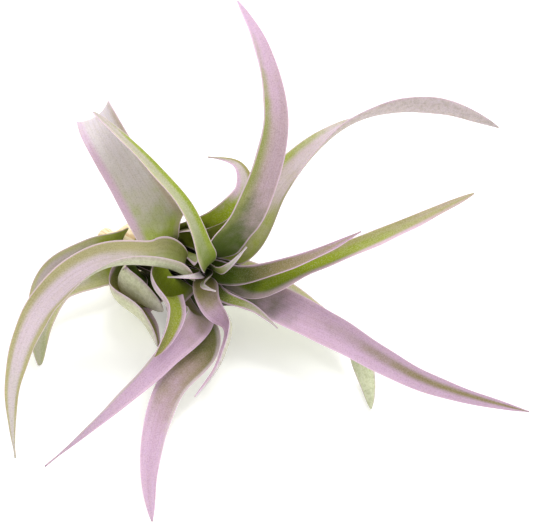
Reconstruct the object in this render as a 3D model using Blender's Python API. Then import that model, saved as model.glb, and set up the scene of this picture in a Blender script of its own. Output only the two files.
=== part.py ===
"""A large soft-leaved air plant, picked, and lying on its side on its dry foot and two leaf tips.

Broad channelled leaves stand in a rosette round a short stem.
Each leaf's foot clasps the stem as a sheath, and its free blade follows its own midrib.
The leaves are laid from the innermost outwards, and each is bent clear of those that it wraps.
The origin is the middle of the flat spot under the dry foot, and the surface it rests on is z = 0.
"""
import math
from collections import namedtuple

import bpy
import numpy as np

MM = 0.001

# Axis of the rosette, from the stem's dry end towards the heart
AXIS = np.array([0.62, -0.67, 0.40])
AXIS = AXIS / np.linalg.norm(AXIS)
UPWARD = np.array([0.0, 0.0, 1.0]) - AXIS[2] * AXIS
UPWARD = UPWARD / np.linalg.norm(UPWARD)
SIDEWAYS = np.cross(UPWARD, AXIS)
STEM_FOOT = np.array([0.0, 0.0, 8.0])      # where the axis meets the dry end, mm

# Leaves, mm
THICKNESS = 0.62
GAP = 0.33                                 # between a sheath and the one that it wraps
PITCH = THICKNESS + GAP
CORE = 1.6                                 # radius of the stem's top
STEM_TOP = 15.0
STEM_SLOPE = 1.45                          # height lost for each mm of radius gained
SHEATH_SWELL = 0.30                        # share by which the sheaths bulge half way up
SHEATH_HEIGHT = 46.0
TIP_HALF_WIDTH = 0.35
OPENING = 0.8                              # share of a sheath's length where it starts to open
OPENED = 1.4                               # the same where it has become the blade
SPACE = 4.0                                # degrees between sheaths that don't overlap
STATIONS = 28                              # sections along a leaf
MIDRIB_SAMPLES = 600
STRANDS = np.linspace(-1.0, 1.0, 5)        # points across a leaf
NEAR_STRANDS = np.linspace(-1.0, 1.0, 9)   # the same where a neighbour feels for it
NEAR_STATIONS = 3                          # sections that a neighbour feels, for each one built

# How leaves give way to the ones that they wrap
CLEARANCE = 1.0                            # between two leaves' middle surfaces, mm
REACH = 7.0                                # deepest crossing that is looked for, mm
NEAR = 1.6                                 # how far beside its neighbour's nearest point, mm
SPREAD = 7.0                               # length over which a bend is spread, mm
ROOTED = 0.3                               # share of a sheath's length that doesn't give way
SETTLED = 0.02                             # push that is too small to follow, mm
ROUNDS = 40

SHARP = 50.0                               # degrees between faces that meet in an edge

Leaf = namedtuple("Leaf", "name slot azimuth clasp exit width taper fold route")

# Each leaf, from the innermost out: the azimuth of its sheath round the axis, the half angle
# that the sheath clasps, the height at which the blade leaves it, the blade's width, how fast
# it narrows, how far it is folded into a channel from foot to tip, and its midrib as
# (x, y, z, roll): millimetres from the foot of the axis on the floor, and degrees.
LEAVES = (
    Leaf("heart_leaf_upper", "heart_leaf", 10, 30, 50, 5, 0.8, (60, 90, 60),
         ((38, -41, 36, 0), (46, -40, 46, 0))),
    Leaf("heart_leaf_left", "heart_leaf", 190, 30, 50, 4, 0.8, (60, 80, 60),
         ((25, -45, 36, 0), (18, -44, 35, 0))),
    Leaf("heart_leaf_lower", "heart_leaf", 290, 30, 50, 5, 0.8, (60, 90, 60),
         ((31, -46, 32, 0), (35, -50, 34, 0))),
    Leaf("narrow_leaf", "olive_leaf", 110, 30, 52, 10, 0.4, (60, 90, 100, 70),
         ((30, -44, 50, 10), (25, -42, 66, 25), (14, -32, 75, 25), (-7, -12, 84, 20))),
    Leaf("left_arch_leaf", "lilac_leaf", 163, 40, 43, 27, 1.0, (140, 125, 120, 70, 50),
         ((16, -37, 34, 48), (-5, -39, 36, 42), (-24, -53, 31, 14),
          (-33, -82, 25, 5), (-30, -111, 18, 15))),
    Leaf("curled_leaf", "lilac_leaf", 250, 34, 46, 12, 0.6, (90, 110, 120, 80),
         ((34, -49, 25, 45), (40, -53, 20, 100), (38, -63, 15, 106), (28, -79, 11, 95))),
    Leaf("top_leaf", "lilac_leaf", 76, 34, 46, 21, 0.62, (80, 90, 90, 80, 60),
         ((37, -34, 42, -10), (48, -33, 65, -15), (55, -22, 89, -15),
          (51, -4, 105, -15), (43, 14, 112, -15))),
    Leaf("inner_right_leaf", "lilac_leaf", 336, 30, 42, 11, 0.7, (80, 110, 90, 50),
         ((43, -36, 27, -30), (61, -37, 34, -35), (87, -28, 42, -35))),
    Leaf("small_right_leaf", "olive_leaf", 285, 30, 42, 8, 0.8, (60, 80, 60, 50),
         ((39, -43, 23, 0), (48, -46, 21, 0), (57, -53, 18, 0))),
    Leaf("channel_leaf", "lilac_leaf", 188, 44, 32, 28, 0.65, (110, 115, 110, 80),
         ((16, -47, 31, 8), (19, -54, 28, 2), (18, -61, 25, -4), (14, -70, 22, -6))),
    Leaf("lower_left_leaf", "lilac_leaf", 222, 42, 38, 17, 1.1, (60, 80, 70, 50, 40),
         ((28, -50, 20, 0), (17, -66, 17, 0), (-1, -89, 15, 0), (-21, -110, 12, 0))),
    Leaf("right_leaf", "olive_leaf", 335, 44, 44, 13, 0.5, (70, 120, 110, 80, 50),
         ((46, -40, 26, -20), (69, -35, 31, -45), (98, -24, 37, -45), (129, -10, 44, -45))),
    Leaf("upper_left_leaf", "olive_leaf", 98, 44, 36, 22, 0.35, (40, 80, 80, 60),
         ((13, -17, 38, -30), (4, -7, 50, -45), (-6, 4, 62, -45),
          (-10, 16, 59, -35), (-10, 30, 41, -35), (-10, 38, 23, -35))),
    Leaf("bottom_leaf", "olive_leaf", 236, 44, 36, 17, 0.6, (60, 80, 70, 50, 40),
         ((29, -59, 13, 35), (19, -75, 9, 35), (14, -103, 9, 45), (16, -132, 12, 50))),
    Leaf("upper_right_leaf", "olive_leaf", 43, 40, 31, 23, 0.62, (130, 110, 90, 60, 40),
         ((47, -27, 40, -70), (58, -17, 53, -95), (83, -2, 70, -135),
          (112, 8, 70, -175), (139, 12, 57, -180))),
    Leaf("lower_right_leaf", "lilac_leaf", 302, 40, 37, 19, 0.68, (60, 90, 80, 60, 40),
         ((51, -38, 17, -15), (76, -56, 20, 10), (108, -78, 18, 25), (143, -89, 15, 25))),
    Leaf("back_curl_leaf", "olive_leaf", 48, 44, 28, 22, 1.1, (60, 70, 60, 50),
         ((37, -15, 36, -40), (45, -6, 42, -60), (43, 2, 46, -60), (31, 8, 46, -60))),
    Leaf("left_bract", "gray_leaf", 176, 44, 16, 22, 0.55, (110, 80, 70, 50),
         ((-2, -27, 15, -23), (5, -33, 15, -27), (15, -39, 12, -35))),
    Leaf("left_low_leaf", "gray_leaf", 216, 44, 14, 28, 0.4, (80, 95, 95, 70),
         ((0, -30, 8, -15), (8, -41, 7, -30), (13, -50, 5, -40))),
    Leaf("right_under_leaf", "gray_leaf", 311, 44, 18, 25, 0.6, (60, 70, 60, 60),
         ((65, -37, 13, -68), (80, -51, 14, -103), (88, -63, 6, -175), (90, -77, 2, -180))),
    Leaf("left_under_leaf", "gray_leaf", 155, 40, 9, 23, 0.4, (60, 80, 60, 50),
         ((-12, -18, 17, 20), (-26, -27, 16, 22), (-31, -42, 11, 15), (-30, -56, 1, -5))),
)

# The stem and its dry foot: centre and radius of each ring, mm
FOOT_RINGS = (
    ((-12.5, 11.0, 2.9), 2.2),
    ((-12.0, 10.6, 2.9), 3.1),
    ((-9.0, 8.2, 3.0), 3.5),
    ((-5.5, 5.0, 4.4), 4.8),
    ((-2.0, 2.0, 6.6), 6.8),
)
STEM_STEPS = 6
STEM_BOTTOM = 5.0                          # height of the stem's widest ring
RING_SIDES = 16
REST = np.array([-9.0, 8.2, 0.0])          # middle of the flat spot under the dry foot

# Finish: colour and roughness of each material
FINISH = {
    "heart_leaf": ((0.30, 0.38, 0.12), 0.75),
    "lilac_leaf": ((0.50, 0.41, 0.45), 0.80),
    "olive_leaf": ((0.42, 0.41, 0.26), 0.80),
    "gray_leaf": ((0.47, 0.48, 0.38), 0.85),
    "dry_stem": ((0.62, 0.47, 0.30), 0.90),
}


def radial(azimuth):
    angle = math.radians(azimuth)
    return math.cos(angle) * SIDEWAYS + math.sin(angle) * UPWARD


def swell(height):
    part = min(max(height / SHEATH_HEIGHT, 0.0), 1.0)
    return 1.0 + SHEATH_SWELL * math.sin(math.pi * part)


def ease(value):
    value = np.clip(value, 0.0, 1.0)
    return value * value * (3.0 - 2.0 * value)


def overlap(one, other):
    apart = abs((one.azimuth - other.azimuth + 180) % 360 - 180)
    return apart < one.clasp + other.clasp + SPACE


def sheath_radii(leaves):
    radii = []
    for place, leaf in enumerate(leaves):
        wrapped = [radii[i] for i in range(place) if overlap(leaf, leaves[i])]
        radii.append(max(wrapped, default=CORE) + PITCH)
    return radii


def spline(points, share):
    """Smooth curve through rows of numbers, sampled at shares of its chord length."""
    rows = np.asarray(points, float)
    chord = np.linalg.norm(np.diff(rows[:, :3], axis=0), axis=1)
    knot = np.concatenate([[0.0], np.cumsum(chord)])
    step = np.diff(rows, axis=0) / chord[:, None]
    slope = np.zeros_like(rows)
    before = chord[:-1, None]
    after = chord[1:, None]
    slope[1:-1] = (step[:-1] * after + step[1:] * before) / (before + after)
    slope[0] = 1.5 * step[0] - 0.5 * slope[1]
    slope[-1] = 1.5 * step[-1] - 0.5 * slope[-2]
    place = share * knot[-1]
    span = np.clip(np.searchsorted(knot, place, side="right") - 1, 0, len(rows) - 2)
    size = chord[span][:, None]
    t = (place - knot[span])[:, None] / size
    start = (2 * t**3 - 3 * t**2 + 1) * rows[span] + (t**3 - 2 * t**2 + t) * size * slope[span]
    end = (3 * t**2 - 2 * t**3) * rows[span + 1] + (t**3 - t**2) * size * slope[span + 1]
    return start + end


def leaf_course(leaf, radius, count):
    """Midrib points, the frames along it, and the arc length in all and inside the sheath."""
    outward = radial(leaf.azimuth)
    bottom = STEM_TOP - STEM_SLOPE * (radius - CORE - PITCH)
    heights = (bottom, (bottom + leaf.exit) / 2, leaf.exit)
    rows = [[*(STEM_FOOT + h * AXIS + radius * swell(h) * outward), 0.0] for h in heights]
    rows += [list(row) for row in leaf.route]
    fine = spline(rows, np.linspace(0.0, 1.0, MIDRIB_SAMPLES))
    pace = np.linalg.norm(np.diff(fine[:, :3], axis=0), axis=1)
    arc = np.concatenate([[0.0], np.cumsum(pace)])
    leaving = arc[np.argmin(np.linalg.norm(fine[:, :3] - rows[2][:3], axis=1))]
    along = np.linspace(0.0, arc[-1], count)
    rows = np.stack([np.interp(along, arc, fine[:, c]) for c in range(4)], axis=1)
    midrib = rows[:, :3]
    tangent = np.gradient(midrib, along, axis=0)
    tangent /= np.linalg.norm(tangent, axis=1)[:, None]
    face = np.zeros_like(midrib)
    normal = -outward
    for i in range(count):
        normal = normal - np.dot(normal, tangent[i]) * tangent[i]
        normal = normal / np.linalg.norm(normal)
        face[i] = normal
    roll = np.radians(rows[:, 3])[:, None]
    side = np.cross(tangent, face)
    face = face * np.cos(roll) + side * np.sin(roll)
    return midrib, face, np.cross(tangent, face), along, leaving, bottom


def leaf_surface(leaf, radius, bend=0.0, count=STATIONS, strands=STRANDS):
    """Middle surface of a leaf and its normals, which point to the inner face."""
    midrib, face, side, along, leaving, bottom = leaf_course(leaf, radius, count)
    free = np.clip((along - leaving) / (along[-1] - leaving), 0.0, 1.0)
    height = bottom + (leaf.exit - bottom) * np.clip(along / leaving, 0.0, 1.0)
    round_stem = radius * np.array([swell(h) for h in height])
    clasp = math.radians(leaf.clasp)
    blade = ease((along / leaving - OPENING) / (OPENED - OPENING))
    half = round_stem * clasp * (1 - blade) + leaf.width / 2 * (1 - free) ** leaf.taper * blade
    half = np.maximum(half, TIP_HALF_WIDTH)
    fold = np.radians(np.interp(free, np.linspace(0.0, 1.0, len(leaf.fold)), leaf.fold))
    turn = 2 * clasp * (1 - blade) + fold * blade
    curve = half / (turn / 2)
    angle = strands[None, :] * turn[:, None] / 2
    across = (curve[:, None] * np.sin(angle))[..., None]
    rise = (curve[:, None] * (1 - np.cos(angle)))[..., None]
    middle = midrib[:, None] + across * side[:, None] + rise * face[:, None] + np.asarray(bend)
    normal = np.cos(angle)[..., None] * face[:, None] - np.sin(angle)[..., None] * side[:, None]
    return middle, normal


def push_clear(middle, neighbour):
    """Push on each section that lifts it off the outer face of a leaf inside it."""
    points, outer = neighbour
    own = middle.reshape(-1, 3)
    gap = own[:, None] - points[None]
    nearest = np.argmin((gap**2).sum(axis=2), axis=1)
    gap = gap[np.arange(len(own)), nearest]
    away = outer[nearest]
    lift = (gap * away).sum(axis=1)
    beside = np.linalg.norm(gap - lift[:, None] * away, axis=1)
    short = np.where((beside < NEAR) & (lift > -REACH), CLEARANCE - lift, 0.0)
    short = np.maximum(short, 0.0).reshape(middle.shape[:2])
    worst = np.argmax(short, axis=1)
    rows = np.arange(len(worst))
    return short[rows, worst][:, None] * away.reshape(middle.shape)[rows, worst]


def bent_clear(leaves, count=STATIONS):
    """Each leaf's radius and bend, laid from the innermost, clear of those inside it."""
    radii = sheath_radii(leaves)
    bends = []
    laid = []
    for place, leaf in enumerate(leaves):
        radius = radii[place]
        along = leaf_course(leaf, radius, count)[3]
        leaving = leaf_course(leaf, radius, count)[4]
        apart = (along[:, None] - along[None]) / SPREAD
        blend = np.exp(-apart**2)
        blend = blend / blend.sum(axis=1)[:, None]
        free = ease(along / leaving - ROOTED)[:, None]
        bend = np.zeros((count, 1, 3))
        inside = [laid[i] for i in range(place) if overlap(leaf, leaves[i])]
        for _ in range(ROUNDS):
            middle, _normal = leaf_surface(leaf, radius, bend, count)
            pushes = [push_clear(middle, other) for other in inside]
            if not pushes:
                break
            sizes = np.array([np.linalg.norm(push, axis=1) for push in pushes])
            largest = np.argmax(sizes, axis=0)
            push = np.array(pushes)[largest, np.arange(count)]
            if np.abs(push).max() < SETTLED:
                break
            bend = bend + (free * (blend @ push))[:, None]
        bends.append(bend)
        fine_count = NEAR_STATIONS * count
        fine, normal = leaf_surface(leaf, radius, finer(bend, fine_count), fine_count, NEAR_STRANDS)
        laid.append((fine.reshape(-1, 3), -normal.reshape(-1, 3)))
    return radii, bends


def finer(bend, count):
    """The same bend at more stations."""
    old = np.linspace(0.0, 1.0, len(bend))
    new = np.linspace(0.0, 1.0, count)
    return np.stack([np.interp(new, old, bend[:, 0, c]) for c in range(3)], axis=1)[:, None]


def leaf_solid(middle, normal):
    """Vertices and triangles of a leaf; both faces are split alike, so that they can't cross."""
    count, strands = middle.shape[:2]
    half = normal * THICKNESS / 2
    points = np.concatenate([(middle + half).reshape(-1, 3), (middle - half).reshape(-1, 3)])
    under = count * strands
    faces = []
    for i in range(count - 1):
        for j in range(strands - 1):
            a = i * strands + j
            b = a + strands
            faces += [(a, b + 1, b), (a, a + 1, b + 1)]
            faces += [(a + under, b + under, b + 1 + under)]
            faces += [(a + under, b + 1 + under, a + 1 + under)]
    first_side = [i * strands for i in range(count)]
    far_end = [(count - 1) * strands + j for j in range(strands)]
    second_side = [i * strands + strands - 1 for i in reversed(range(count))]
    near_end = list(reversed(range(strands)))
    for edge in (first_side, far_end, second_side, near_end):
        for a, b in zip(edge[:-1], edge[1:]):
            faces += [(a, b, b + under), (a, b + under, a + under)]
    return points, faces


def ring(centre, along, radius):
    """Points round a centre, square to a direction, pressed flat where they meet the floor."""
    across = np.cross(along, (0.0, 0.0, 1.0))
    across = across / np.linalg.norm(across)
    upright = np.cross(across, along)
    points = []
    for side in range(RING_SIDES):
        angle = 2 * math.pi * side / RING_SIDES
        point = centre + radius * (math.cos(angle) * across + math.sin(angle) * upright)
        point[2] = max(point[2], 0.0)
        points.append(point)
    return points


def stem_rings():
    rings = [(np.array(centre), radius) for centre, radius in FOOT_RINGS]
    for height in np.linspace(STEM_BOTTOM, STEM_TOP, STEM_STEPS):
        sheath = CORE + PITCH + (STEM_TOP - height) / STEM_SLOPE
        radius = (sheath - THICKNESS / 2 - GAP) * swell(height)
        rings.append((STEM_FOOT + height * AXIS, radius))
    return rings


def stem_solid():
    """Vertices and faces of the short stem and its dry foot, as rings joined end to end."""
    rings = stem_rings()
    centres = np.array([centre for centre, _radius in rings])
    along = np.gradient(centres, axis=0)
    points = []
    for i, (centre, radius) in enumerate(rings):
        points += ring(centre, along[i] / np.linalg.norm(along[i]), radius)
    faces = []
    for i in range(len(rings) - 1):
        for side in range(RING_SIDES):
            following = (side + 1) % RING_SIDES
            a = i * RING_SIDES + side
            b = i * RING_SIDES + following
            faces += [(a, b + RING_SIDES, b), (a, a + RING_SIDES, b + RING_SIDES)]
    last = (len(rings) - 1) * RING_SIDES
    faces.append(tuple(range(RING_SIDES)))
    faces.append(tuple(reversed(range(last, last + RING_SIDES))))
    return np.array(points), faces


def clear_scene():
    for item in list(bpy.data.objects):
        bpy.data.objects.remove(item, do_unlink=True)


def finish(slot):
    colour, roughness = FINISH[slot]
    material = bpy.data.materials.new(slot)
    material.use_nodes = True
    shader = material.node_tree.nodes["Principled BSDF"]
    shader.inputs["Base Color"].default_value = (*colour, 1.0)
    shader.inputs["Roughness"].default_value = roughness
    shader.inputs["Metallic"].default_value = 0.0
    return material


def place(name, points, faces, material):
    """Adds one closed body to the scene, with the flat spot under the dry foot at the origin."""
    mesh = bpy.data.meshes.new(name)
    mesh.from_pydata(((points - REST) * MM).tolist(), [], faces)
    mesh.materials.append(material)
    mesh.shade_smooth()
    mesh.set_sharp_from_angle(angle=math.radians(SHARP))
    body = bpy.data.objects.new(name, mesh)
    bpy.context.collection.objects.link(body)


def build():
    clear_scene()
    materials = {slot: finish(slot) for slot in FINISH}
    radii, bends = bent_clear(LEAVES)
    for leaf, radius, bend in zip(LEAVES, radii, bends):
        points, faces = leaf_solid(*leaf_surface(leaf, radius, bend))
        place(leaf.name, points, faces, materials[leaf.slot])
    points, faces = stem_solid()
    place("stem", points, faces, materials["dry_stem"])


build()
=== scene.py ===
"""The looks of a large soft-leaved air plant that lies on its side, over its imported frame.

The leaves follow the same course as the frame's, from the same table, with many more sections,
rounded margins, slight waves and a velvety coat. Lengths are in millimetres until a mesh is made.
"""

import math
from collections import namedtuple

import bpy
import numpy as np
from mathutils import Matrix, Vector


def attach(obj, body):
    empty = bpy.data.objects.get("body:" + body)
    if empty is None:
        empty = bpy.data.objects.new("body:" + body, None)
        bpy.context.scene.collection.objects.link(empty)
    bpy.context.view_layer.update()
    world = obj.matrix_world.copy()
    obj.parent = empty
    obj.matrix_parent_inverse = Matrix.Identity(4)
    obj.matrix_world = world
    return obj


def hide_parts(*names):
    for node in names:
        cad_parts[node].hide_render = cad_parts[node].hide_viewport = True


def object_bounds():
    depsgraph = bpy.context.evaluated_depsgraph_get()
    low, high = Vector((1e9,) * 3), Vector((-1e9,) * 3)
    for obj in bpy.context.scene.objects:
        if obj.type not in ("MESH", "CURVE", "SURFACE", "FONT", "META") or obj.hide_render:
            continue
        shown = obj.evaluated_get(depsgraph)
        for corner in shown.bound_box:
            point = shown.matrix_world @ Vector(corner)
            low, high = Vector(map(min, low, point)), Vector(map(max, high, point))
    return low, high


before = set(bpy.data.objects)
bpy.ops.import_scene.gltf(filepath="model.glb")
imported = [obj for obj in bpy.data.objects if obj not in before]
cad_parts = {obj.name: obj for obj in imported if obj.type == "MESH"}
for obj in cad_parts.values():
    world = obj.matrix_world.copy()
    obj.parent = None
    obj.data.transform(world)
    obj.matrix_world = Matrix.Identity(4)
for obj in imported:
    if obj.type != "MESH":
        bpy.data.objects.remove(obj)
cad_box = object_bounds()

MM = 0.001

# Axis of the rosette, from the stem's dry end towards the heart
AXIS = np.array([0.62, -0.67, 0.40])
AXIS = AXIS / np.linalg.norm(AXIS)
UPWARD = np.array([0.0, 0.0, 1.0]) - AXIS[2] * AXIS
UPWARD = UPWARD / np.linalg.norm(UPWARD)
SIDEWAYS = np.cross(UPWARD, AXIS)
STEM_FOOT = np.array([0.0, 0.0, 8.0])      # where the axis meets the dry end, mm

# Leaves, mm
THICKNESS = 0.62
GAP = 0.33                                 # between a sheath and the one that it wraps
PITCH = THICKNESS + GAP
CORE = 1.6                                 # radius of the stem's top
STEM_TOP = 15.0
STEM_SLOPE = 1.45                          # height lost for each mm of radius gained
SHEATH_SWELL = 0.30                        # share by which the sheaths bulge half way up
SHEATH_HEIGHT = 46.0
TIP_HALF_WIDTH = 0.35
OPENING = 0.8                              # share of a sheath's length where it starts to open
OPENED = 1.4                               # the same where it has become the blade
SPACE = 4.0                                # degrees between sheaths that don't overlap
STATIONS = 28                              # sections along a leaf
MIDRIB_SAMPLES = 600
STRANDS = np.linspace(-1.0, 1.0, 5)        # points across a leaf
NEAR_STRANDS = np.linspace(-1.0, 1.0, 9)   # the same where a neighbour feels for it
NEAR_STATIONS = 3                          # sections that a neighbour feels, for each one built

# How leaves give way to the ones that they wrap
CLEARANCE = 1.0                            # between two leaves' middle surfaces, mm
REACH = 7.0                                # deepest crossing that is looked for, mm
NEAR = 1.6                                 # how far beside its neighbour's nearest point, mm
SPREAD = 7.0                               # length over which a bend is spread, mm
ROOTED = 0.3                               # share of a sheath's length that doesn't give way
SETTLED = 0.02                             # push that is too small to follow, mm
ROUNDS = 40

Leaf = namedtuple("Leaf", "name slot azimuth clasp exit width taper fold route")

# Each leaf, from the innermost out: the azimuth of its sheath round the axis, the half angle
# that the sheath clasps, the height at which the blade leaves it, the blade's width, how fast
# it narrows, how far it is folded into a channel from foot to tip, and its midrib as
# (x, y, z, roll): millimetres from the foot of the axis on the floor, and degrees.
LEAVES = (
    Leaf("heart_leaf_upper", "heart_leaf", 10, 30, 50, 5, 0.8, (60, 90, 60),
         ((38, -41, 36, 0), (46, -40, 46, 0))),
    Leaf("heart_leaf_left", "heart_leaf", 190, 30, 50, 4, 0.8, (60, 80, 60),
         ((25, -45, 36, 0), (18, -44, 35, 0))),
    Leaf("heart_leaf_lower", "heart_leaf", 290, 30, 50, 5, 0.8, (60, 90, 60),
         ((31, -46, 32, 0), (35, -50, 34, 0))),
    Leaf("narrow_leaf", "olive_leaf", 110, 30, 52, 10, 0.4, (60, 90, 100, 70),
         ((30, -44, 50, 10), (25, -42, 66, 25), (14, -32, 75, 25), (-7, -12, 84, 20))),
    Leaf("left_arch_leaf", "lilac_leaf", 163, 40, 43, 27, 1.0, (140, 125, 120, 70, 50),
         ((16, -37, 34, 48), (-5, -39, 36, 42), (-24, -53, 31, 14),
          (-33, -82, 25, 5), (-30, -111, 18, 15))),
    Leaf("curled_leaf", "lilac_leaf", 250, 34, 46, 12, 0.6, (90, 110, 120, 80),
         ((34, -49, 25, 45), (40, -53, 20, 100), (38, -63, 15, 106), (28, -79, 11, 95))),
    Leaf("top_leaf", "lilac_leaf", 76, 34, 46, 21, 0.62, (80, 90, 90, 80, 60),
         ((37, -34, 42, -10), (48, -33, 65, -15), (55, -22, 89, -15),
          (51, -4, 105, -15), (43, 14, 112, -15))),
    Leaf("inner_right_leaf", "lilac_leaf", 336, 30, 42, 11, 0.7, (80, 110, 90, 50),
         ((43, -36, 27, -30), (61, -37, 34, -35), (87, -28, 42, -35))),
    Leaf("small_right_leaf", "olive_leaf", 285, 30, 42, 8, 0.8, (60, 80, 60, 50),
         ((39, -43, 23, 0), (48, -46, 21, 0), (57, -53, 18, 0))),
    Leaf("channel_leaf", "lilac_leaf", 188, 44, 32, 28, 0.65, (110, 115, 110, 80),
         ((16, -47, 31, 8), (19, -54, 28, 2), (18, -61, 25, -4), (14, -70, 22, -6))),
    Leaf("lower_left_leaf", "lilac_leaf", 222, 42, 38, 17, 1.1, (60, 80, 70, 50, 40),
         ((28, -50, 20, 0), (17, -66, 17, 0), (-1, -89, 15, 0), (-21, -110, 12, 0))),
    Leaf("right_leaf", "olive_leaf", 335, 44, 44, 13, 0.5, (70, 120, 110, 80, 50),
         ((46, -40, 26, -20), (69, -35, 31, -45), (98, -24, 37, -45), (129, -10, 44, -45))),
    Leaf("upper_left_leaf", "olive_leaf", 98, 44, 36, 22, 0.35, (40, 80, 80, 60),
         ((13, -17, 38, -30), (4, -7, 50, -45), (-6, 4, 62, -45),
          (-10, 16, 59, -35), (-10, 30, 41, -35), (-10, 38, 23, -35))),
    Leaf("bottom_leaf", "olive_leaf", 236, 44, 36, 17, 0.6, (60, 80, 70, 50, 40),
         ((29, -59, 13, 35), (19, -75, 9, 35), (14, -103, 9, 45), (16, -132, 12, 50))),
    Leaf("upper_right_leaf", "olive_leaf", 43, 40, 31, 23, 0.62, (130, 110, 90, 60, 40),
         ((47, -27, 40, -70), (58, -17, 53, -95), (83, -2, 70, -135),
          (112, 8, 70, -175), (139, 12, 57, -180))),
    Leaf("lower_right_leaf", "lilac_leaf", 302, 40, 37, 19, 0.68, (60, 90, 80, 60, 40),
         ((51, -38, 17, -15), (76, -56, 20, 10), (108, -78, 18, 25), (143, -89, 15, 25))),
    Leaf("back_curl_leaf", "olive_leaf", 48, 44, 28, 22, 1.1, (60, 70, 60, 50),
         ((37, -15, 36, -40), (45, -6, 42, -60), (43, 2, 46, -60), (31, 8, 46, -60))),
    Leaf("left_bract", "gray_leaf", 176, 44, 16, 22, 0.55, (110, 80, 70, 50),
         ((-2, -27, 15, -23), (5, -33, 15, -27), (15, -39, 12, -35))),
    Leaf("left_low_leaf", "gray_leaf", 216, 44, 14, 28, 0.4, (80, 95, 95, 70),
         ((0, -30, 8, -15), (8, -41, 7, -30), (13, -50, 5, -40))),
    Leaf("right_under_leaf", "gray_leaf", 311, 44, 18, 25, 0.6, (60, 70, 60, 60),
         ((65, -37, 13, -68), (80, -51, 14, -103), (88, -63, 6, -175), (90, -77, 2, -180))),
    Leaf("left_under_leaf", "gray_leaf", 155, 40, 9, 23, 0.4, (60, 80, 60, 50),
         ((-12, -18, 17, 20), (-26, -27, 16, 22), (-31, -42, 11, 15), (-30, -56, 1, -5))),
)

REST = np.array([-9.0, 8.2, 0.0])          # the frame's origin, in the leaves' millimetres

# The finer leaves
SECTIONS = 150                             # sections along a leaf
LINES = np.sin(np.linspace(-0.5, 0.5, 25) * math.pi)   # points across it, closer at the margins
MARGIN = 0.42                              # share of the thickness left near the margin
ROUNDING = 12                              # power that rounds the margin off
WAVE = 0.22                                # height of the margin's slight waves, mm
WAVE_LENGTH = 17.0
LEAF_SHIFT = 1.7                           # of the waves from one leaf to the next, radians
SIDE_SHIFT = 0.9                           # of the waves at a margin from the midrib, radians
LONG_WAVES = 0.43                          # longer waves for each short one
LONG_SHIFT = 2.3                           # their shift for each radian of the short waves'
LONG_SHARE = 0.4                           # their share of the height
WAVES_START = 0.3                          # share of the leaf where they start to rise
WAVES_RISE = 0.2                           # and over which they reach their height
WAVES_END = 0.1                            # share of the leaf over which they die out at its tip
DRAWN_FROM = 0.6                           # share of a blade past which all of it is moved

# The stem and its dry foot: centre and radius of each ring, mm
FOOT_RINGS = (
    ((-12.5, 11.0, 2.9), 2.2),
    ((-12.0, 10.6, 2.9), 3.1),
    ((-9.0, 8.2, 3.0), 3.5),
    ((-5.5, 5.0, 4.4), 4.8),
    ((-2.0, 2.0, 6.6), 6.8),
)
STEM_STEPS = 6
STEM_BOTTOM = 5.0
STEM_SIDES = 72
STEM_SECTIONS = 60
STEM_SHARE = 0.985                         # of the frame's radius, so that it stays inside
STEM_SHARP = 60.0                          # degrees between faces that meet in an edge
FIBRE_DEPTH = 0.16                         # depth of the grooves between the foot's fibres, mm
FIBRES = ((13, 0.3, 0.04), (29, 0.2, -0.09))   # how many, their share, and their twist a section

# Light and view
CAMERA_PLACE = (0.062, -0.4192, 0.410)
CAMERA_TILT = 45.0
LENS = 100.0
SENSOR = 36.0
KEY_PLACE = (0.25, 0.35, 0.95)
KEY_SIZE = 0.55
KEY_POWER = 7.0
SKY = 1.0
FLOOR_WIDTH = 6.0
FLOOR_GLOW = 0.22                          # that lifts the shadows on the floor
TONE = 0.80                                # leaf colours are darkened by this for the bright light


def srgb(red, green, blue):
    """Linear colour of an 8-bit screen colour."""
    screen = np.array([red, green, blue]) / 255
    return tuple(np.where(screen <= 0.04045, screen / 12.92, ((screen + 0.055) / 1.055) ** 2.4))


RIM_START = 0.92                           # share of the half width where a pale rim starts

# A coat is what colours a leaf's inner face: its foot, blade and tip, the bands along its two
# margins and the channel between them; then its outer face and the outer face's tip. The
# numbers are where the green ends and the tip's colour starts along the free blade, the bands'
# share of the half width, how strongly the channel is tinted, where the first margin's pale rim
# starts, how much the foot is shaded, and where across the leaf its channel lies.
# On the lilac coat the channel's colour is a painted highlight along the middle of the blade.
Coat = namedtuple("Coat", "foot blade tip minus plus channel outer outer_tip ends starts band deep"
                  " rim dark middle", defaults=(RIM_START, 1.0, 0.0))
MOSS = srgb(84, 106, 4)
GREEN = srgb(124, 148, 16)
GRASS = srgb(156, 174, 28)
LIME = srgb(164, 176, 56)
FERN = srgb(152, 160, 78)
OLIVE = srgb(158, 152, 78)
KHAKI = srgb(178, 172, 114)
REED = srgb(152, 162, 66)
STRAW = srgb(202, 198, 148)
TAN = srgb(192, 174, 156)
UMBER = srgb(156, 142, 100)
ASH = srgb(212, 197, 200)
ROSE = srgb(216, 198, 208)
DOVE = srgb(204, 196, 186)
LILAC = srgb(214, 181, 208)
MAUVE = srgb(196, 162, 186)
DUSK = srgb(204, 176, 190)
PINK = srgb(228, 196, 220)
SILVER = srgb(228, 218, 224)
SAGE = srgb(184, 188, 146)
MINT = srgb(222, 226, 194)
PALE = srgb(238, 240, 206)
SCURF = srgb(240, 232, 236)
RIM = srgb(242, 210, 236)
STREAK = srgb(214, 206, 176)
BARK = srgb(208, 170, 120)
HUSK = srgb(242, 226, 192)
HEART = srgb(122, 134, 72)                 # what the shaded feet of the leaves are multiplied by
SHADE_START = -0.15                        # of the free blade
SHADE_END = 0.22

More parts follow.
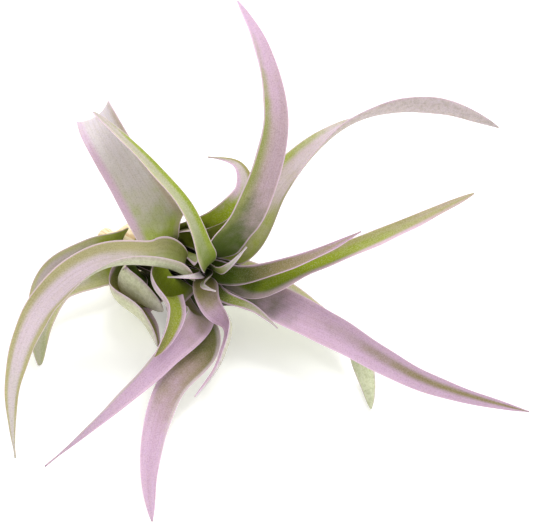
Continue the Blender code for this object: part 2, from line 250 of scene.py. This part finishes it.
# Patterns, for each metre, and how strongly each tints the colour under it
GRAIN = 2400.0                             # of the scurf and the pits in it
PATCHES = 160.0
MOTTLES = 700.0                            # of the outer face
BLOTCHES = 260.0                           # of the dry foot
DRIFT = 0.3                                # how far patches carry a leaf's colours along it
STREAKS_ACROSS = 14.0                      # for each half width
STREAKS_ALONG = 4.0                        # for each free blade
STREAK_STRENGTH = 0.30
SCURF_STRENGTH = 0.13
PIT_STRENGTH = 0.16
RIM_STRENGTH = 0.65
BAND_STRENGTH = 0.9
EDGE_STRENGTH = 0.4
MOTTLE_STRENGTH = 0.25
BLOTCH_STRENGTH = 0.6
UNEVENNESS = 0.8                           # how much blotches shift the fibres' colour

# Values between which each pattern comes in
STREAK_RANGE = (0.4, 0.75)
SCURF_RANGE = (0.52, 0.66)
PIT_RANGE = (0.34, 0.46)
MOTTLE_RANGE = (0.44, 0.60)
BLOTCH_RANGE = (0.52, 0.7)
FIBRE_RANGE = (0.0, 0.55)
SCURF_REACH = (0.0, 0.5)                   # of the free blade
TROUGH = (0.05, 0.6)                       # of the half width, from the channel's middle
EDGE = (0.7, 0.95)                         # of the half width
RIM_FADE = (0.0, 0.05)                     # of the half width, from where the rim starts

# Shares of the free blade before and after a coat's own places where its colours change
GREEN_FADE = (-0.15, 0.2)
TIP_FADE = (-0.25, 0.25)
TROUGH_FADE = (-0.3, 0.2)
BAND_REACH = (-0.25, 0.12)
BAND_FADE = (0.0, 0.35)
BACK_FADE = (-0.15, 0.1)                   # where the blade leaves its sheath
BACK_TIP_FADE = (-0.3, 0.4)
BAND_FOOT = 1.3                            # the bands' share times this is where they come in
BAND_TOP = 0.5                             # and times this where they are whole

BUMP = 0.6                                 # strength of every bump
GRAIN_HEIGHT = 0.00008                     # metres
RIB_HEIGHT = 0.00015
BARK_HEIGHT = 0.0001
BARK_GRAIN = 1800.0

# Uniform settings of each surface
SKIN = {
    "Roughness": 0.7,
    "Specular IOR Level": 0.25,
    "Sheen Weight": 0.10,
    "Sheen Roughness": 0.45,
    "Sheen Tint": RIM,
    "Subsurface Weight": 0.15,
    "Subsurface Radius": (0.9, 1.0, 0.35),
    "Subsurface Scale": 0.001,
}
DRY = {"Roughness": 0.9, "Specular IOR Level": 0.15}
GROUND = {
    "Base Color": (0.93, 0.93, 0.92),
    "Roughness": 0.9,
    "Specular IOR Level": 0.1,
    "Emission Color": (1.0, 1.0, 1.0),
    "Emission Strength": FLOOR_GLOW,
}

COATS = {
    "heart": Coat(GREEN, FERN, SILVER, PINK, PINK, FERN, SAGE, SILVER, 0.3, 0.6, 0.14, 0.3, 0.88),
    "white": Coat(LIME, SILVER, SILVER, PINK, PINK, STRAW, MINT, SILVER, 0.1, 0.5, 0.20, 0.2),
    "narrow": Coat(GREEN, SAGE, ASH, STRAW, GRASS, FERN, SAGE, PINK, 0.25, 0.72, 0.55, 0.4, 0.88),
    "arch": Coat(FERN, ROSE, DOVE, KHAKI, KHAKI, LILAC, MINT, SAGE, 0.15, 0.80, 0.50, 0.0, 0.94, 0.6),
    "curl": Coat(OLIVE, LILAC, PINK, PINK, PINK, MAUVE, MINT, SILVER, 0.25, 0.6, 0.25, 0.3),
    "top": Coat(MOSS, TAN, LILAC, REED, DUSK, TAN, SAGE, ASH, 0.32, 0.58, 0.90, 0.0, 0.76, 0.6),
    "brown": Coat(MOSS, UMBER, MAUVE, MAUVE, LILAC, OLIVE, SAGE, MAUVE, 0.35, 0.75, 0.25, 0.6, 0.86),
    "green": Coat(MOSS, FERN, ASH, LILAC, LILAC, FERN, SAGE, SILVER, 0.35, 0.75, 0.28, 0.4, 0.88),
    "channel": Coat(GRASS, LIME, OLIVE, LILAC, LILAC, MOSS, ASH, PINK, 0.3, 0.8, 0.24, 0.4, 0.9, 0.2),
    # the lilac coat's SILVER channel is a painted highlight down the middle of the lower left leaf
    "lilac": Coat(OLIVE, LILAC, MAUVE, PINK, DOVE, SILVER, SAGE, ASH, 0.16, 0.85, 0.28, 0.3, 0.94),
    "straight": Coat(MOSS, GRASS, TAN, KHAKI, PINK, LIME, SAGE, ASH, 0.22, 0.68, 0.58, 0.4, 0.90),
    "pale": Coat(GRASS, DOVE, SILVER, LILAC, TAN, ASH, SAGE, SILVER, 0.10, 0.42, 0.34, 0.3, 0.95, 0.2),
    "base": Coat(MOSS, UMBER, LILAC, ASH, LILAC, MAUVE, SAGE, ASH, 0.22, 0.5, 0.25, 0.4),
    "sweep": Coat(LIME, TAN, ROSE, LIME, FERN, ASH, STRAW, ASH, 0.26, 0.36, 0.40, 0.6, 0.93, 0.1),
    "broad": Coat(MOSS, LILAC, LILAC, LILAC, LILAC, UMBER, SAGE, SAGE, 0.18, 0.60, 0.14, 1.0, 0.94, 0.7,
                  -0.15),
    "back": Coat(GRASS, ASH, OLIVE, LILAC, OLIVE, ASH, SAGE, OLIVE, 0.55, 0.85, 0.60, 0.4, 0.86, 0.1),
    "outside": Coat(MOSS, OLIVE, OLIVE, LILAC, LILAC, MOSS, PALE, SILVER, 0.2, 0.9, 0.20, 0.5, 0.92, 0.3),
    "under": Coat(LIME, ASH, SAGE, STRAW, STRAW, ASH, MINT, MINT, 0.2, 0.7, 0.30, 0.3, 0.92, 0.3),
}
COAT_OF = {
    "heart_leaf_upper": "heart", "heart_leaf_left": "white", "heart_leaf_lower": "heart",
    "narrow_leaf": "narrow", "left_arch_leaf": "arch", "curled_leaf": "curl",
    "top_leaf": "top", "inner_right_leaf": "brown", "small_right_leaf": "green",
    "channel_leaf": "channel", "lower_left_leaf": "lilac", "right_leaf": "straight",
    "upper_left_leaf": "pale", "bottom_leaf": "base", "upper_right_leaf": "sweep",
    "lower_right_leaf": "broad", "back_curl_leaf": "back", "left_bract": "outside",
    "left_low_leaf": "outside", "right_under_leaf": "under", "left_under_leaf": "under",
}


def radial(azimuth):
    angle = math.radians(azimuth)
    return math.cos(angle) * SIDEWAYS + math.sin(angle) * UPWARD


def swell(height):
    part = min(max(height / SHEATH_HEIGHT, 0.0), 1.0)
    return 1.0 + SHEATH_SWELL * math.sin(math.pi * part)


def ease(value):
    value = np.clip(value, 0.0, 1.0)
    return value * value * (3.0 - 2.0 * value)


def overlap(one, other):
    apart = abs((one.azimuth - other.azimuth + 180) % 360 - 180)
    return apart < one.clasp + other.clasp + SPACE


def sheath_radii(leaves):
    radii = []
    for place, leaf in enumerate(leaves):
        wrapped = [radii[i] for i in range(place) if overlap(leaf, leaves[i])]
        radii.append(max(wrapped, default=CORE) + PITCH)
    return radii


def spline(points, share):
    """Smooth curve through rows of numbers, sampled at shares of its chord length."""
    rows = np.asarray(points, float)
    chord = np.linalg.norm(np.diff(rows[:, :3], axis=0), axis=1)
    knot = np.concatenate([[0.0], np.cumsum(chord)])
    step = np.diff(rows, axis=0) / chord[:, None]
    slope = np.zeros_like(rows)
    before = chord[:-1, None]
    after = chord[1:, None]
    slope[1:-1] = (step[:-1] * after + step[1:] * before) / (before + after)
    slope[0] = 1.5 * step[0] - 0.5 * slope[1]
    slope[-1] = 1.5 * step[-1] - 0.5 * slope[-2]
    place = share * knot[-1]
    span = np.clip(np.searchsorted(knot, place, side="right") - 1, 0, len(rows) - 2)
    size = chord[span][:, None]
    t = (place - knot[span])[:, None] / size
    start = (2 * t**3 - 3 * t**2 + 1) * rows[span] + (t**3 - 2 * t**2 + t) * size * slope[span]
    end = (3 * t**2 - 2 * t**3) * rows[span + 1] + (t**3 - t**2) * size * slope[span + 1]
    return start + end


def leaf_course(leaf, radius, count):
    """Midrib points, the frames along it, and the arc length in all and inside the sheath."""
    outward = radial(leaf.azimuth)
    bottom = STEM_TOP - STEM_SLOPE * (radius - CORE - PITCH)
    heights = (bottom, (bottom + leaf.exit) / 2, leaf.exit)
    rows = [[*(STEM_FOOT + h * AXIS + radius * swell(h) * outward), 0.0] for h in heights]
    rows += [list(row) for row in leaf.route]
    fine = spline(rows, np.linspace(0.0, 1.0, MIDRIB_SAMPLES))
    pace = np.linalg.norm(np.diff(fine[:, :3], axis=0), axis=1)
    arc = np.concatenate([[0.0], np.cumsum(pace)])
    leaving = arc[np.argmin(np.linalg.norm(fine[:, :3] - rows[2][:3], axis=1))]
    along = np.linspace(0.0, arc[-1], count)
    rows = np.stack([np.interp(along, arc, fine[:, c]) for c in range(4)], axis=1)
    midrib = rows[:, :3]
    tangent = np.gradient(midrib, along, axis=0)
    tangent /= np.linalg.norm(tangent, axis=1)[:, None]
    face = np.zeros_like(midrib)
    normal = -outward
    for i in range(count):
        normal = normal - np.dot(normal, tangent[i]) * tangent[i]
        normal = normal / np.linalg.norm(normal)
        face[i] = normal
    roll = np.radians(rows[:, 3])[:, None]
    side = np.cross(tangent, face)
    face = face * np.cos(roll) + side * np.sin(roll)
    return midrib, face, np.cross(tangent, face), along, leaving, bottom


def leaf_surface(leaf, radius, bend=0.0, count=STATIONS, strands=STRANDS):
    """Middle surface of a leaf and its normals, which point to the inner face."""
    midrib, face, side, along, leaving, bottom = leaf_course(leaf, radius, count)
    free = np.clip((along - leaving) / (along[-1] - leaving), 0.0, 1.0)
    height = bottom + (leaf.exit - bottom) * np.clip(along / leaving, 0.0, 1.0)
    round_stem = radius * np.array([swell(h) for h in height])
    clasp = math.radians(leaf.clasp)
    blade = ease((along / leaving - OPENING) / (OPENED - OPENING))
    half = round_stem * clasp * (1 - blade) + leaf.width / 2 * (1 - free) ** leaf.taper * blade
    half = np.maximum(half, TIP_HALF_WIDTH)
    fold = np.radians(np.interp(free, np.linspace(0.0, 1.0, len(leaf.fold)), leaf.fold))
    turn = 2 * clasp * (1 - blade) + fold * blade
    curve = half / (turn / 2)
    angle = strands[None, :] * turn[:, None] / 2
    across = (curve[:, None] * np.sin(angle))[..., None]
    rise = (curve[:, None] * (1 - np.cos(angle)))[..., None]
    middle = midrib[:, None] + across * side[:, None] + rise * face[:, None] + np.asarray(bend)
    normal = np.cos(angle)[..., None] * face[:, None] - np.sin(angle)[..., None] * side[:, None]
    return middle, normal


def push_clear(middle, neighbour):
    """Push on each section that lifts it off the outer face of a leaf inside it."""
    points, outer = neighbour
    own = middle.reshape(-1, 3)
    gap = own[:, None] - points[None]
    nearest = np.argmin((gap**2).sum(axis=2), axis=1)
    gap = gap[np.arange(len(own)), nearest]
    away = outer[nearest]
    lift = (gap * away).sum(axis=1)
    beside = np.linalg.norm(gap - lift[:, None] * away, axis=1)
    short = np.where((beside < NEAR) & (lift > -REACH), CLEARANCE - lift, 0.0)
    short = np.maximum(short, 0.0).reshape(middle.shape[:2])
    worst = np.argmax(short, axis=1)
    rows = np.arange(len(worst))
    return short[rows, worst][:, None] * away.reshape(middle.shape)[rows, worst]


def bent_clear(leaves, count=STATIONS):
    """Each leaf's radius and bend, laid from the innermost and pushed off those inside it."""
    radii = sheath_radii(leaves)
    bends = []
    laid = []
    for place, leaf in enumerate(leaves):
        radius = radii[place]
        _midrib, _face, _side, along, leaving, _bottom = leaf_course(leaf, radius, count)
        apart = (along[:, None] - along[None]) / SPREAD
        blend = np.exp(-apart**2)
        blend = blend / blend.sum(axis=1)[:, None]
        free = ease(along / leaving - ROOTED)[:, None]
        bend = np.zeros((count, 1, 3))
        inside = [laid[i] for i in range(place) if overlap(leaf, leaves[i])]
        for _ in range(ROUNDS):
            middle, _normal = leaf_surface(leaf, radius, bend, count)
            pushes = [push_clear(middle, other) for other in inside]
            if not pushes:
                break
            sizes = np.array([np.linalg.norm(push, axis=1) for push in pushes])
            largest = np.argmax(sizes, axis=0)
            push = np.array(pushes)[largest, np.arange(count)]
            if np.abs(push).max() < SETTLED:
                break
            bend = bend + (free * (blend @ push))[:, None]
        bends.append(bend)
        fine_count = NEAR_STATIONS * count
        fine, normal = leaf_surface(leaf, radius, finer(bend, fine_count), fine_count, NEAR_STRANDS)
        laid.append((fine.reshape(-1, 3), -normal.reshape(-1, 3)))
    return radii, bends


def finer(bend, count):
    """The same bend at more stations."""
    old = np.linspace(0.0, 1.0, len(bend))
    new = np.linspace(0.0, 1.0, count)
    return np.stack([np.interp(new, old, bend[:, 0, c]) for c in range(3)], axis=1)[:, None]


# Pieces

def fine_bend(bend):
    """The bend of a leaf's few sections, carried smoothly to its many."""
    rows = bend[:, 0]
    place = np.linspace(0.0, len(rows) - 1.0, SECTIONS)
    first = np.clip(np.floor(place).astype(int), 0, len(rows) - 2)
    slope = np.gradient(rows, axis=0)
    t = (place - first)[:, None]
    start = (2 * t**3 - 3 * t**2 + 1) * rows[first] + (t**3 - 2 * t**2 + t) * slope[first]
    end = (3 * t**2 - 2 * t**3) * rows[first + 1] + (t**3 - t**2) * slope[first + 1]
    return (start + end)[:, None]


def wave(leaf, place):
    """Slight waves along the margins, different on each leaf and side."""
    length = leaf_length(leaf)
    turn = 2 * math.pi * length / WAVE_LENGTH
    u = np.linspace(0.0, 1.0, SECTIONS)[:, None]
    v = LINES[None, :]
    drift = place * LEAF_SHIFT + SIDE_SHIFT * np.sign(v)
    short = np.sin(turn * u + drift) * (1.0 - LONG_SHARE)
    ripple = short + np.sin(turn * LONG_WAVES * u + LONG_SHIFT * drift) * LONG_SHARE
    present = ease((u - WAVES_START) / WAVES_RISE) * ease((1.0 - u) / WAVES_END)
    return WAVE * ripple * np.abs(v) ** 3 * present


def leaf_length(leaf):
    points = np.array([row[:3] for row in leaf.route], float)
    return np.linalg.norm(np.diff(points, axis=0), axis=1).sum() + leaf.exit


def drawn_in(points, free):
    """A leaf whose far part is moved just enough to keep it inside the frame's box."""
    low, high = [np.array(corner) / MM + REST for corner in cad_box]
    over = np.maximum(points.max(axis=(0, 1)) - high, 0.0)
    under = np.maximum(low - points.min(axis=(0, 1)), 0.0)
    share = ease(free / DRAWN_FROM)[:, None, None]
    return points + (under - over) * share


def leaf_mesh(leaf, place, radius, bend):
    """A leaf as two faces that meet in a rounded margin, with its own coordinates."""
    middle, normal = leaf_surface(leaf, radius, fine_bend(bend), SECTIONS, LINES)
    middle = middle + normal * wave(leaf, place)[..., None]
    edge = 1.0 - (1.0 - MARGIN) * LINES**2
    half = THICKNESS / 2 * edge * np.sqrt(1.0 - np.abs(LINES) ** ROUNDING)
    half = half[None, :, None]
    inner = middle + normal * half
    outer = middle - normal * half
    lines = len(LINES)
    free = free_share(leaf, radius)
    ring = drawn_in(np.concatenate([inner, outer[:, -2:0:-1]], axis=1), free)
    around = ring.shape[1]
    points = ring.reshape(-1, 3)
    faces = []
    for i in range(SECTIONS - 1):
        for j in range(around):
            following = (j + 1) % around
            a = i * around + j
            b = i * around + following
            faces.append((a, b, b + around, a + around))
    last = (SECTIONS - 1) * around
    for start, turned in ((0, True), (last, False)):
        for j in range(lines - 1):
            a = start + j
            b = start + j + 1
            c = start + (around - j - 1) % around
            d = start + (around - j) % around
            strip = list(dict.fromkeys((a, b, c, d)))
            if turned:
                strip.reverse()
            faces.append(tuple(strip))
    mesh = bpy.data.meshes.new(leaf.name)
    mesh.from_pydata(((points - REST) * MM).tolist(), [], faces)
    across = np.concatenate([LINES, LINES[-2:0:-1]])
    inside = np.concatenate([np.ones(lines), np.zeros(lines - 2)])
    along = np.repeat(free, around)
    store(mesh, "along", along)
    store(mesh, "across", np.tile(across, SECTIONS))
    store(mesh, "inside", np.tile(inside, SECTIONS))
    mesh.shade_smooth()
    return mesh


def free_share(leaf, radius):
    """Share along the free blade of each section; below nought inside the sheath."""
    _midrib, _face, _side, along, leaving, _bottom = leaf_course(leaf, radius, SECTIONS)
    return (along - leaving) / (along[-1] - leaving)


def store(mesh, name, values):
    attribute = mesh.attributes.new(name, "FLOAT", "POINT")
    attribute.data.foreach_set("value", np.asarray(values, np.float32))


def add_piece(name, mesh, material, node):
    piece = bpy.data.objects.new(name, mesh)
    bpy.context.collection.objects.link(piece)
    mesh.materials.append(material)
    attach(piece, "root")
    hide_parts(node)


# Materials

class Nodes:
    """Short names for the few kinds of shader node that the materials use."""

    def __init__(self, name):
        self.material = bpy.data.materials.new(name)
        self.material.use_nodes = True
        self.tree = self.material.node_tree
        self.shader = self.tree.nodes["Principled BSDF"]

    def settle(self, settings):
        for name, value in settings.items():
            self.put(self.shader.inputs[name], value)

    def put(self, socket, value):
        if isinstance(value, bpy.types.NodeSocket):
            self.tree.links.new(value, socket)
        elif isinstance(value, tuple) and len(value) == 3 and socket.type == "RGBA":
            socket.default_value = (*value, 1.0)
        else:
            socket.default_value = value

    def value(self, name):
        node = self.tree.nodes.new("ShaderNodeAttribute")
        node.attribute_name = name
        return node.outputs["Fac"]

    def maths(self, operation, first, second=0.0):
        node = self.tree.nodes.new("ShaderNodeMath")
        node.operation = operation
        self.put(node.inputs[0], first)
        self.put(node.inputs[1], second)
        return node.outputs[0]

    def step(self, value, low, high):
        """0 below low, 1 above high, and smooth between them."""
        node = self.tree.nodes.new("ShaderNodeMapRange")
        node.interpolation_type = "SMOOTHSTEP"
        self.put(node.inputs["Value"], value)
        self.put(node.inputs["From Min"], low)
        self.put(node.inputs["From Max"], high)
        return node.outputs["Result"]

    def fade(self, value, place, spread):
        """The same step, from a little before a place to a little after it."""
        return self.step(value, place + spread[0], place + spread[1])

    def mix(self, share, first, second, blend="MIX"):
        node = self.tree.nodes.new("ShaderNodeMix")
        node.data_type = "RGBA"
        node.blend_type = blend
        self.put(node.inputs["Factor"], share)
        self.put(node.inputs["A"], first)
        self.put(node.inputs["B"], second)
        return node.outputs["Result"]

    def vector(self, x, y, z):
        node = self.tree.nodes.new("ShaderNodeCombineXYZ")
        for socket, value in zip(node.inputs, (x, y, z)):
            self.put(socket, value)
        return node.outputs[0]

    def place(self):
        return self.tree.nodes.new("ShaderNodeTexCoord").outputs["Object"]

    def noise(self, where, scale, detail=2.0):
        node = self.tree.nodes.new("ShaderNodeTexNoise")
        self.put(node.inputs["Vector"], where)
        self.put(node.inputs["Scale"], scale)
        self.put(node.inputs["Detail"], detail)
        return node.outputs["Fac"]

    def bump(self, height, distance, strength, under=None):
        node = self.tree.nodes.new("ShaderNodeBump")
        self.put(node.inputs["Height"], height)
        self.put(node.inputs["Distance"], distance)
        self.put(node.inputs["Strength"], strength)
        if under is not None:
            self.put(node.inputs["Normal"], under)
        return node.outputs["Normal"]


def leaf_material(leaf, place):
    """A leaf's green, olive and lilac under a fine silvery scurf that catches light like velvet."""
    coat = COATS[COAT_OF[leaf.name]]
    nodes = Nodes(leaf.name)
    across = nodes.value("across")
    inside = nodes.value("inside")
    spot = nodes.place()
    patches = nodes.noise(spot, PATCHES, 3.0)
    drift = nodes.maths("MULTIPLY", nodes.maths("SUBTRACT", patches, 0.5), DRIFT)
    free = nodes.value("along")
    along = nodes.maths("ADD", free, drift)
    lines = nodes.vector(nodes.maths("MULTIPLY", across, STREAKS_ACROSS),
                         nodes.maths("MULTIPLY", free, STREAKS_ALONG), float(place))
    streaks = nodes.noise(lines, 1.0, 4.0)
    colour = nodes.mix(inside, outer_colour(nodes, coat, along, across, spot),
                       inner_colour(nodes, coat, along, across))
    streak = nodes.maths("MULTIPLY", nodes.step(streaks, *STREAK_RANGE), STREAK_STRENGTH)
    colour = nodes.mix(streak, colour, nodes.mix(1.0, colour, STREAK, "MULTIPLY"))
    shade = nodes.maths("SUBTRACT", 1.0, nodes.step(free, SHADE_START, SHADE_END))
    shade = nodes.maths("MULTIPLY", shade, coat.dark)
    colour = nodes.mix(shade, colour, nodes.mix(1.0, colour, HEART, "MULTIPLY"))
    grains = nodes.noise(spot, GRAIN, 1.0)
    scurf = nodes.maths("MULTIPLY", nodes.step(grains, *SCURF_RANGE), nodes.step(free, *SCURF_REACH))
    colour = nodes.mix(nodes.maths("MULTIPLY", scurf, SCURF_STRENGTH), colour, SCURF)
    pits = nodes.maths("SUBTRACT", 1.0, nodes.step(grains, *PIT_RANGE))
    pits = nodes.maths("MULTIPLY", pits, PIT_STRENGTH)
    colour = nodes.mix(pits, colour, nodes.mix(1.0, colour, MOSS, "MULTIPLY"))
    rim = nodes.maths("ADD", nodes.fade(across, RIM_START, RIM_FADE),
                      nodes.fade(nodes.maths("MULTIPLY", across, -1.0), coat.rim, RIM_FADE))
    colour = nodes.mix(nodes.maths("MULTIPLY", rim, RIM_STRENGTH), colour, RIM)
    colour = nodes.mix(1.0, colour, (TONE, TONE, TONE), "MULTIPLY")
    nodes.put(nodes.shader.inputs["Base Color"], colour)
    finish_leaf(nodes, spot, streaks)
    return nodes.material


def inner_colour(nodes, coat, along, across):
    """Green foot, blade, tip, a band along each margin and the channel between them."""
    face = nodes.mix(nodes.fade(along, coat.ends, GREEN_FADE), coat.foot, coat.blade)
    face = nodes.mix(nodes.fade(along, coat.starts, TIP_FADE), face, coat.tip)
    # the channel's tint, which on the lilac coat is a painted highlight
    aside = nodes.maths("ABSOLUTE", nodes.maths("SUBTRACT", across, coat.middle))
    trough = nodes.maths("SUBTRACT", 1.0, nodes.step(aside, *TROUGH))
    trough = nodes.maths("MULTIPLY", trough, nodes.fade(along, coat.starts, TROUGH_FADE))
    face = nodes.mix(nodes.maths("MULTIPLY", trough, coat.deep), face, coat.channel)
    low = 1.0 - BAND_FOOT * coat.band
    high = 1.0 - BAND_TOP * coat.band
    reach = nodes.fade(along, coat.ends, BAND_REACH)
    fade = nodes.fade(along, coat.starts, BAND_FADE)
    plus = nodes.maths("MULTIPLY", nodes.step(across, low, high), reach)
    minus = nodes.step(nodes.maths("MULTIPLY", across, -1.0), low, high)
    plus = nodes.maths("MULTIPLY", plus, BAND_STRENGTH)
    face = nodes.mix(plus, face, nodes.mix(fade, coat.plus, coat.tip))
    minus = nodes.maths("MULTIPLY", nodes.maths("MULTIPLY", minus, reach), BAND_STRENGTH)
    return nodes.mix(minus, face, nodes.mix(fade, coat.minus, coat.tip))


def outer_colour(nodes, coat, along, across, spot):
    """A duller, mottled green that pales towards the tip and the margins."""
    back = nodes.mix(nodes.step(along, *BACK_FADE), LIME, coat.outer)
    back = nodes.mix(nodes.fade(along, coat.starts, BACK_TIP_FADE), back, coat.outer_tip)
    edge = nodes.step(nodes.maths("ABSOLUTE", across), *EDGE)
    back = nodes.mix(nodes.maths("MULTIPLY", edge, EDGE_STRENGTH), back, LILAC)
    mottle = nodes.step(nodes.noise(spot, MOTTLES, 3.0), *MOTTLE_RANGE)
    mottle = nodes.maths("MULTIPLY", mottle, MOTTLE_STRENGTH)
    return nodes.mix(mottle, back, nodes.mix(1.0, back, SAGE, "MULTIPLY"))


def finish_leaf(nodes, spot, streaks):
    """Fine grain, faint ribs, and the soft gloss of a velvety skin."""
    grain = nodes.bump(nodes.noise(spot, GRAIN, 2.0), GRAIN_HEIGHT, BUMP)
    nodes.put(nodes.shader.inputs["Normal"], nodes.bump(streaks, RIB_HEIGHT, BUMP, grain))
    nodes.settle(SKIN)


def stem_material():
    """Dry, fibrous tan, darker in the grooves and in blotches."""
    nodes = Nodes("dry_stem")
    spot = nodes.place()
    groove = nodes.value("groove")
    blotch = nodes.noise(spot, BLOTCHES, 4.0)
    uneven = nodes.maths("MULTIPLY", nodes.maths("SUBTRACT", blotch, 0.5), UNEVENNESS)
    fibres = nodes.maths("ADD", groove, uneven)
    colour = nodes.mix(nodes.step(fibres, *FIBRE_RANGE), BARK, HUSK)
    blotches = nodes.maths("MULTIPLY", nodes.step(blotch, *BLOTCH_RANGE), BLOTCH_STRENGTH)
    colour = nodes.mix(blotches, colour, BARK)
    nodes.put(nodes.shader.inputs["Base Color"], colour)
    grain = nodes.noise(spot, BARK_GRAIN, 3.0)
    nodes.put(nodes.shader.inputs["Normal"], nodes.bump(grain, BARK_HEIGHT, BUMP))
    nodes.settle(DRY)
    return nodes.material


def stem_mesh():
    """The short stem and its dry foot, with fibres along it and a flat underside."""
    rings = [(np.array(centre), radius) for centre, radius in FOOT_RINGS]
    for height in np.linspace(STEM_BOTTOM, STEM_TOP, STEM_STEPS):
        sheath = CORE + PITCH + (STEM_TOP - height) / STEM_SLOPE
        rings.append((STEM_FOOT + height * AXIS, (sheath - THICKNESS / 2 - GAP) * swell(height)))
    rows = [[*centre, radius] for centre, radius in rings]
    course = spline(rows, np.linspace(0.0, 1.0, STEM_SECTIONS))
    along = np.gradient(course[:, :3], axis=0)
    points = []
    grooves = []
    for i, row in enumerate(course):
        heading = along[i] / np.linalg.norm(along[i])
        across = np.cross(heading, (0.0, 0.0, 1.0))
        across = across / np.linalg.norm(across)
        upright = np.cross(across, heading)
        for side in range(STEM_SIDES):
            angle = 2 * math.pi * side / STEM_SIDES
            ridge = 0.5 + sum(share * math.sin(n * angle + twist * i) for n, share, twist in FIBRES)
            radius = row[3] * STEM_SHARE - FIBRE_DEPTH * (1 - ridge)
            point = row[:3] + radius * (math.cos(angle) * across + math.sin(angle) * upright)
            point[2] = max(point[2], 0.0)
            points.append(point)
            grooves.append(ridge)
    faces = []
    for i in range(STEM_SECTIONS - 1):
        for side in range(STEM_SIDES):
            following = (side + 1) % STEM_SIDES
            a = i * STEM_SIDES + side
            b = i * STEM_SIDES + following
            faces.append((a, a + STEM_SIDES, b + STEM_SIDES, b))
    last = (STEM_SECTIONS - 1) * STEM_SIDES
    faces.append(tuple(range(STEM_SIDES)))
    faces.append(tuple(reversed(range(last, last + STEM_SIDES))))
    mesh = bpy.data.meshes.new("stem")
    mesh.from_pydata(((np.array(points) - REST) * MM).tolist(), [], faces)
    store(mesh, "groove", grooves)
    mesh.shade_smooth()
    mesh.set_sharp_from_angle(angle=math.radians(STEM_SHARP))
    return mesh


# Stage

def add_floor():
    mesh = bpy.data.meshes.new("floor")
    half = FLOOR_WIDTH / 2
    corners = [(-half, -half, 0), (half, -half, 0), (half, half, 0), (-half, half, 0)]
    mesh.from_pydata(corners, [], [(0, 1, 2, 3)])
    floor = bpy.data.objects.new("floor", mesh)
    bpy.context.collection.objects.link(floor)
    nodes = Nodes("floor")
    nodes.settle(GROUND)
    mesh.materials.append(nodes.material)


def add_light():
    lamp = bpy.data.lights.new("key", "AREA")
    lamp.shape = "DISK"
    lamp.size = KEY_SIZE
    lamp.energy = KEY_POWER
    key = bpy.data.objects.new("key", lamp)
    key.location = KEY_PLACE
    aim = math.hypot(KEY_PLACE[0], KEY_PLACE[1])
    key.rotation_euler = (math.atan2(aim, KEY_PLACE[2]), 0.0, math.atan2(KEY_PLACE[0], -KEY_PLACE[1]))
    bpy.context.collection.objects.link(key)
    world = bpy.data.worlds.new("studio")
    world.use_nodes = True
    world.node_tree.nodes["Background"].inputs["Color"].default_value = (1.0, 1.0, 1.0, 1.0)
    world.node_tree.nodes["Background"].inputs["Strength"].default_value = SKY
    bpy.context.scene.world = world
    bpy.context.scene.view_settings.view_transform = "Standard"


def add_camera():
    data = bpy.data.cameras.new("camera")
    data.lens = LENS
    data.sensor_width = SENSOR
    data.sensor_fit = "HORIZONTAL"
    camera = bpy.data.objects.new("camera", data)
    camera.location = CAMERA_PLACE
    camera.rotation_euler = (math.radians(CAMERA_TILT), 0.0, 0.0)
    bpy.context.collection.objects.link(camera)
    bpy.context.scene.camera = camera


radii, bends = bent_clear(LEAVES)
for place, leaf in enumerate(LEAVES):
    mesh = leaf_mesh(leaf, place, radii[place], bends[place])
    add_piece("fine_" + leaf.name, mesh, leaf_material(leaf, place), leaf.name)
add_piece("fine_stem", stem_mesh(), stem_material(), "stem")
add_floor()
add_light()
add_camera()
